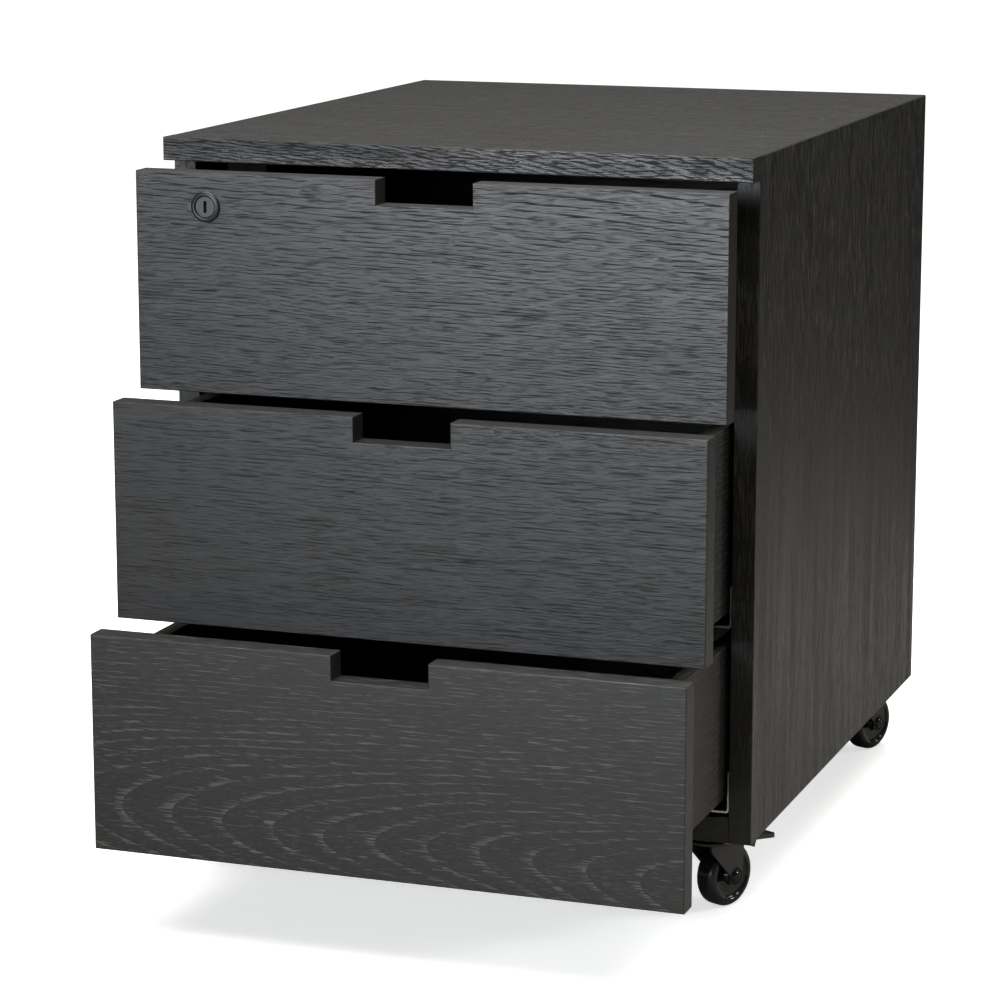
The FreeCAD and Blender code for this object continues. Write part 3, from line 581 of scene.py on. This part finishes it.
hardwareLooks = {
    "zincSteel": {
        "colour": (0.66, 0.66, 0.65, 1),
        "dull": (0.50, 0.50, 0.50, 1),
        "metallic": 1.0,
        "rough": 0.30,
        "spread": 0.22,
        "stretch": (0.5, 0.02, 0.5),
        "speck": (0.35, 0.35, 0.35),
        "relief": 0.12,
        "distance": 0.00006,
    },
    "blackSteel": {
        "colour": (0.021, 0.021, 0.022, 1),
        "dull": (0.030, 0.030, 0.031, 1),
        "metallic": 0.0,
        "rough": 0.36,
        "spread": 0.14,
        "stretch": (0.12, 0.12, 0.12),
        "speck": (1.3, 1.3, 1.3),
        "relief": 0.22,
        "distance": 0.00012,
    },
    "axleSteel": {
        "colour": (0.055, 0.055, 0.058, 1),
        "dull": (0.035, 0.035, 0.037, 1),
        "metallic": 1.0,
        "rough": 0.16,
        "spread": 0.14,
        "stretch": (0.4, 0.4, 0.4),
        "speck": (2.0, 2.0, 2.0),
        "relief": 0.08,
        "distance": 0.00005,
    },
    "screwSteel": {
        "colour": (0.58, 0.58, 0.56, 1),
        "dull": (0.40, 0.40, 0.38, 1),
        "metallic": 1.0,
        "rough": 0.26,
        "spread": 0.2,
        "stretch": (0.3, 0.3, 0.3),
        "speck": (2.0, 2.0, 2.0),
        "relief": 0.12,
        "distance": 0.00005,
    },
    "lockBlack": {
        "colour": (0.010, 0.010, 0.011, 1),
        "dull": (0.015, 0.015, 0.016, 1),
        "metallic": 0.0,
        "rough": 0.33,
        "spread": 0.12,
        "stretch": (0.3, 0.3, 0.3),
        "speck": (3.0, 3.0, 3.0),
        "relief": 0.06,
        "distance": 0.00004,
    },
    "plugBlack": {
        "colour": (0.020, 0.020, 0.021, 1),
        "dull": (0.028, 0.028, 0.029, 1),
        "metallic": 0.0,
        "rough": 0.44,
        "spread": 0.14,
        "stretch": (0.9, 0.9, 0.1),
        "speck": (4.0, 4.0, 4.0),
        "relief": 0.1,
        "distance": 0.00004,
    },
    # painted shade: a near black, barely reflective finish that keeps the lock keeper as dark as the
    # shaded gap over the top drawer
    "keeperShadeBlack": {
        "colour": (0.006, 0.006, 0.006, 1),
        "dull": (0.009, 0.009, 0.009, 1),
        "metallic": 0.0,
        "rough": 0.8,
        "shine": 0.05,
        "spread": 0.12,
        "stretch": (0.2, 0.2, 0.2),
        "speck": (2.5, 2.5, 2.5),
        "relief": 0.3,
        "distance": 0.0001,
    },
    "wheelGloss": {
        "colour": (0.0065, 0.0065, 0.0072, 1),
        "dull": (0.0095, 0.0095, 0.010, 1),
        "metallic": 0.0,
        "rough": 0.09,
        "spread": 0.10,
        "stretch": (0.08, 0.08, 0.08),
        "speck": (0.5, 0.5, 0.5),
        "relief": 0.05,
        "distance": 0.00008,
    },
    "wheelTread": {
        "colour": (0.011, 0.011, 0.0125, 1),
        "dull": (0.018, 0.018, 0.019, 1),
        "metallic": 0.0,
        "rough": 0.24,
        "spread": 0.1,
        "stretch": (0.15, 0.15, 0.15),
        "speck": (1.2, 1.2, 1.2),
        "relief": 0.1,
        "distance": 0.00008,
    },
    "nylon": {
        "colour": (0.72, 0.71, 0.66, 1),
        "dull": (0.60, 0.59, 0.55, 1),
        "metallic": 0.0,
        "rough": 0.42,
        "spread": 0.15,
        "stretch": (0.2, 0.2, 0.2),
        "speck": (1.5, 1.5, 1.5),
        "relief": 0.15,
        "distance": 0.00008,
    },
    "clipPlastic": {
        "colour": (0.19, 0.19, 0.195, 1),
        "dull": (0.14, 0.14, 0.145, 1),
        "metallic": 0.0,
        "rough": 0.45,
        "spread": 0.18,
        "stretch": (0.2, 0.2, 0.2),
        "speck": (2.2, 2.2, 2.2),
        "relief": 0.3,
        "distance": 0.0001,
    },
    "beech": {
        "colour": (0.50, 0.34, 0.20, 1),
        "dull": (0.38, 0.24, 0.13, 1),
        "metallic": 0.0,
        "rough": 0.6,
        "spread": 0.15,
        "stretch": (0.08, 1.6, 1.6),
        "speck": (0.3, 4.0, 4.0),
        "relief": 0.3,
        "distance": 0.0001,
    },
}


def machinedSurface(name, look):
    material, tree, shader = newMaterial(name)
    millimetres = objectMillimetres(tree)
    patches = grainNoise(tree, millimetres, look["stretch"], finishPattern["patchSeed"], 3.0, 0.55)
    specks = grainNoise(tree, millimetres, look["speck"], finishPattern["speckSeed"], 2.0, 0.5)
    worn = ramp(tree, patches, *finishPattern["wornRange"])
    colour = blendColours(tree, worn, look["colour"], look["dull"])
    roughness = maths(tree, "MULTIPLY_ADD", patches, look["spread"], look["rough"] - look["spread"] / 2)
    roughness = maths(tree, "MULTIPLY_ADD", specks, look["spread"] / 3, roughness)
    height = maths(tree, "MULTIPLY_ADD", patches, finishPattern["patchHeight"], specks)
    finishSurface(tree, shader, colour, roughness, height, look["relief"], look["distance"])
    shader.inputs["Metallic"].default_value = look["metallic"]
    shader.inputs["Specular IOR Level"].default_value = look.get("shine", finishPattern["shine"])
    return material


surfaces = {name: machinedSurface(name, look) for name, look in hardwareLooks.items()}

slotSurfaces = {
    "runner_steel": "zincSteel",
    "screw_steel": "screwSteel",
    "lock_metal": "lockBlack",
    "lock_steel": "screwSteel",
    "caster_steel": "blackSteel",
    "axle_steel": "axleSteel",
    "wheel_plastic": "wheelGloss",
    "roller_plastic": "nylon",
    "clip_plastic": "clipPlastic",
    "dowel_wood": "beech",
}
for nodeName, piece in nodes.items():
    if nodeName in oakBoards:
        continue
    # painted shade: the keeper gets the near-black finish so that it reads as the shaded gap
    if nodeName == "lock_keeper":  # it would shine in the gap over the top drawer
        coatNode(nodeName, surfaces["keeperShadeBlack"])
        continue
    for slot in piece.material_slots:
        slotName = slot.material.name.split(".")[0] if slot.material else ""
        slot.material = surfaces[slotSurfaces.get(slotName, "blackSteel")]
print("metals and plastics coated")


def freshStart():
    if bpy.context.object and bpy.context.object.mode != "OBJECT":
        bpy.ops.object.mode_set(mode="OBJECT")
    bpy.ops.object.select_all(action="DESELECT")


def workOn(piece):
    freshStart()
    piece.select_set(True)
    bpy.context.view_layer.objects.active = piece


# how nearly a face must point along an axis, and an edge lie level with the rim, to be picked
picking = {"square": 0.99, "upward": 0.9, "level": 1e-6, "manySides": 8}
softening = {"mergeGap": 0.002, "joinAngle": 0.5, "edgeAngle": 35, "smoothAngle": 35}


def selectFaces(piece, wanted):
    bpy.ops.mesh.select_mode(type="FACE")
    bpy.ops.mesh.select_all(action="DESELECT")
    shape = bmesh.from_edit_mesh(piece.data)
    for face in shape.faces:
        face.select_set(bool(wanted(face)))
    bmesh.update_edit_mesh(piece.data)


def selectEdges(piece, wanted):
    bpy.ops.mesh.select_mode(type="EDGE")
    bpy.ops.mesh.select_all(action="DESELECT")
    shape = bmesh.from_edit_mesh(piece.data)
    for edge in shape.edges:
        edge.select_set(bool(wanted(edge)))
    bmesh.update_edit_mesh(piece.data)


def stepInwards(steps):
    for inward, outward in steps:
        bpy.ops.mesh.inset(thickness=inward * millimetre, depth=outward * millimetre)


def applyBevel(piece, width, segments, angle):
    workOn(piece)
    bevel = piece.modifiers.new("softEdges", "BEVEL")
    bevel.width = width * millimetre
    bevel.segments = segments
    bevel.limit_method = "ANGLE"
    bevel.angle_limit = math.radians(angle)
    bpy.ops.object.modifier_apply(modifier=bevel.name)


def smoothShade(piece, angle=softening["smoothAngle"]):
    workOn(piece)
    bpy.ops.object.shade_smooth_by_angle(angle=math.radians(angle))


# keeps wide flat faces flat beside their rounded edges
def evenNormals(piece):
    workOn(piece)
    evened = piece.modifiers.new("evenNormals", "WEIGHTED_NORMAL")
    evened.keep_sharp = True
    bpy.ops.object.modifier_apply(modifier=evened.name)


def settle(piece, place, turn):
    workOn(piece)
    piece.location = place
    piece.rotation_euler = (0, 0, turn)
    bpy.ops.object.transform_apply(location=True, rotation=True, scale=True)


def copyPiece(piece, name):
    twin = piece.copy()
    twin.data = piece.data.copy()
    twin.name = name
    scene.collection.objects.link(twin)
    return twin


def setMaterials(piece, *materials):
    piece.data.materials.clear()
    for material in materials:
        piece.data.materials.append(material)


def standIn(piece, body, slotName, *replaced):
    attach(piece, body)
    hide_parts(*replaced)


# a merged copy of a CAD node with its flat faces joined, pressed details added and its edges rounded
def softenedCopy(node, name, width, segments, angle=softening["edgeAngle"], pressed=None):
    workOn(nodes[node])
    piece = nodes[node].copy()
    piece.data = nodes[node].data.copy()
    piece.name = name
    piece.parent = None
    for key in list(piece.keys()):
        del piece[key]
    scene.collection.objects.link(piece)
    workOn(piece)
    bpy.ops.object.mode_set(mode="EDIT")
    bpy.ops.mesh.select_all(action="SELECT")
    bpy.ops.mesh.remove_doubles(threshold=softening["mergeGap"] * millimetre)
    bpy.ops.mesh.customdata_custom_splitnormals_clear()
    bpy.ops.mesh.dissolve_limited(angle_limit=math.radians(softening["joinAngle"]))
    if pressed:
        pressed(piece)
    bpy.ops.object.mode_set(mode="OBJECT")
    applyBevel(piece, width, segments, angle)
    smoothShade(piece)
    evenNormals(piece)
    return piece


# how far each caster has turned, in degrees
casterHeadings = {"front_left": 33, "front_right": 24, "rear_left": 12, "rear_right": 22}


def wheelCentre(corner):
    low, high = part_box(f"caster_wheel_{corner}")
    return (low + high) / 2


def wheelTurn(corner):
    return math.radians(90 - casterHeadings[corner])


# disc and hub list the steps in and out from the rim to the bore, in millimetres
wheelLook = {
    "radius": 25.0,
    "halfWidth": 9.0,
    "sides": 96,
    "treadRound": 5.2,
    "treadSteps": 10,
    "treadWide": 5.6,
    "edge": 0.25,
    "edgeAngle": 28,
    "smoothAngle": 32,
    "rimWide": 6.0,
    "disc": [(0.5, -0.4), (0.9, -1.2), (2.2, -0.7), (2.6, -0.35), (2.6, 0), (2.4, 0.35)],
    "hub": [(0.5, 1.2), (0.4, 1.0), (0.6, 0.45), (1.0, 0.1), (2.25, 0)],
}


def makeWheel():
    radius, half = wheelLook["radius"], wheelLook["halfWidth"]
    square, many = picking["square"], picking["manySides"]
    freshStart()
    bpy.ops.mesh.primitive_cylinder_add(
        vertices=wheelLook["sides"],
        radius=radius * millimetre,
        depth=2 * half * millimetre,
        rotation=(math.pi / 2, 0, 0),
    )
    wheel = bpy.context.object
    bpy.ops.object.transform_apply(location=True, rotation=True, scale=True)

    def onRim(edge):
        start, end = (vertex.co.y for vertex in edge.verts)
        level = picking["level"]
        outside = all(abs(abs(spot) - half * millimetre) < level for spot in (start, end))
        return outside and abs(start - end) < level

    bpy.ops.object.mode_set(mode="EDIT")
    selectEdges(wheel, onRim)
    bpy.ops.mesh.bevel(
        offset=wheelLook["treadRound"] * millimetre,
        segments=wheelLook["treadSteps"],
        affect="EDGES",
    )
    for hand in (-1, 1):
        selectFaces(wheel, lambda face: face.normal.y * hand > square and len(face.verts) > many)
        stepInwards([(wheelLook["rimWide"] - wheelLook["treadRound"], 0)])
        stepInwards(wheelLook["disc"])
        stepInwards(wheelLook["hub"])
    selectFaces(wheel, lambda face: abs(face.normal.y) > square and len(face.verts) > many)
    bpy.ops.mesh.bridge_edge_loops()
    bpy.ops.object.mode_set(mode="OBJECT")
    setMaterials(wheel, surfaces["wheelGloss"], surfaces["wheelTread"])
    rim = (radius - wheelLook["treadWide"]) * millimetre
    for face in wheel.data.polygons:
        spot = face.center
        face.material_index = 1 if math.hypot(spot.x, spot.z) > rim and abs(spot.y) > 0 else 0
    applyBevel(wheel, wheelLook["edge"], 2, wheelLook["edgeAngle"])
    smoothShade(wheel, wheelLook["smoothAngle"])
    evenNormals(wheel)
    return wheel


# a rivet with a domed, dimpled head on each leg; dome lists the steps in and out to its middle
axleLook = {
    "radius": 3.0,
    "halfLength": 12.2,
    "head": 4.6,
    "collar": 0.2,
    "dome": [(0.5, 0.75), (0.9, 0.65), (1.2, 0.45), (0.5, 0.0), (0.3, -0.35)],
    "sides": 48,
    "smoothAngle": 30,
}


def makeAxle():
    half = axleLook["halfLength"]
    freshStart()
    bpy.ops.mesh.primitive_cylinder_add(
        vertices=axleLook["sides"],
        radius=axleLook["radius"] * millimetre,
        depth=2 * half * millimetre,
        rotation=(math.pi / 2, 0, 0),
    )
    axle = bpy.context.object
    bpy.ops.object.transform_apply(location=True, rotation=True, scale=True)
    bpy.ops.object.mode_set(mode="EDIT")
    for hand in (-1, 1):
        selectFaces(axle, lambda face: face.normal.y * hand > picking["square"])
        bpy.ops.mesh.extrude_region_move(TRANSFORM_OT_translate={"value": (0, 0, 0)})
        spread = axleLook["head"] / axleLook["radius"]
        bpy.ops.transform.resize(value=(spread, 1, spread))
        rise = hand * axleLook["collar"] * millimetre
        bpy.ops.mesh.extrude_region_move(TRANSFORM_OT_translate={"value": (0, rise, 0)})
        stepInwards(axleLook["dome"])
    bpy.ops.object.mode_set(mode="OBJECT")
    setMaterials(axle, surfaces["axleSteel"])
    smoothShade(axle, axleLook["smoothAngle"])
    return axle


wheelMaster = makeWheel()
axleMaster = makeAxle()
casterRounds = (
    (wheelMaster, "wheel", "caster_wheel", "wheel_plastic"),
    (axleMaster, "axle", "caster_fork", "axle_steel"),
)
for corner in casterHeadings:
    for master, kind, holder, slotName in casterRounds:
        twin = copyPiece(master, f"{kind}_{corner}")
        settle(twin, wheelCentre(corner), wheelTurn(corner))
        standIn(twin, f"{holder}_{corner}", slotName, f"caster_{kind}_{corner}")
for master in (wheelMaster, axleMaster):
    bpy.data.objects.remove(master)
print("wheels and axles made")


# millimetres of rounding on the pressed parts, and the tread pressed into the pedal
forkLook = {"edge": 0.45}
plateLook = {"edge": 0.5}
pedalLook = {"edge": 0.4, "frame": 3.0, "panel": -0.45, "nearWidest": 0.9}


def makeFork(corner):
    node = f"caster_fork_{corner}"
    fork = softenedCopy(node, f"fork_{corner}", forkLook["edge"], 3)
    setMaterials(fork, surfaces["blackSteel"])
    standIn(fork, node, "caster_steel", node)


def makePedal(corner):
    node = f"caster_brake_pedal_{corner}"

    def pressTread(piece):
        shape = bmesh.from_edit_mesh(piece.data)
        upward = picking["upward"]
        widest = max((face.calc_area() for face in shape.faces if face.normal.z > upward), default=0)
        least = pedalLook["nearWidest"] * widest
        selectFaces(piece, lambda face: face.normal.z > upward and face.calc_area() > least)
        stepInwards([(pedalLook["frame"], pedalLook["panel"])])

    pedal = softenedCopy(node, f"pedal_{corner}", pedalLook["edge"], 3, pressed=pressTread)
    setMaterials(pedal, surfaces["blackSteel"])
    standIn(pedal, f"caster_brake_{corner}", "caster_steel", node)


for corner in casterHeadings:
    makeFork(corner)
    plate = softenedCopy(f"caster_plate_{corner}", f"plate_{corner}", plateLook["edge"], 3)
    setMaterials(plate, surfaces["blackSteel"])
    standIn(plate, "case", "caster_steel", f"caster_plate_{corner}")
for corner in ("front_left", "front_right"):
    makePedal(corner)
print("forks, plates and pedals made")


lockLook = {"plugEdge": 0.2, "ringEdge": 0.35, "ringAngle": 20}

lockCore = softenedCopy("lock_core", "lock_plug_face", lockLook["plugEdge"], 2)
setMaterials(lockCore, surfaces["plugBlack"])
standIn(lockCore, "lock_plug", "lock_metal", "lock_core")
lockRing = softenedCopy("lock_housing", "lock_rosette", lockLook["ringEdge"], 3, lockLook["ringAngle"])
setMaterials(lockRing, surfaces["lockBlack"])
standIn(lockRing, "drawer_top", "lock_metal", "lock_housing")
print("lock made")


print("scene ready")
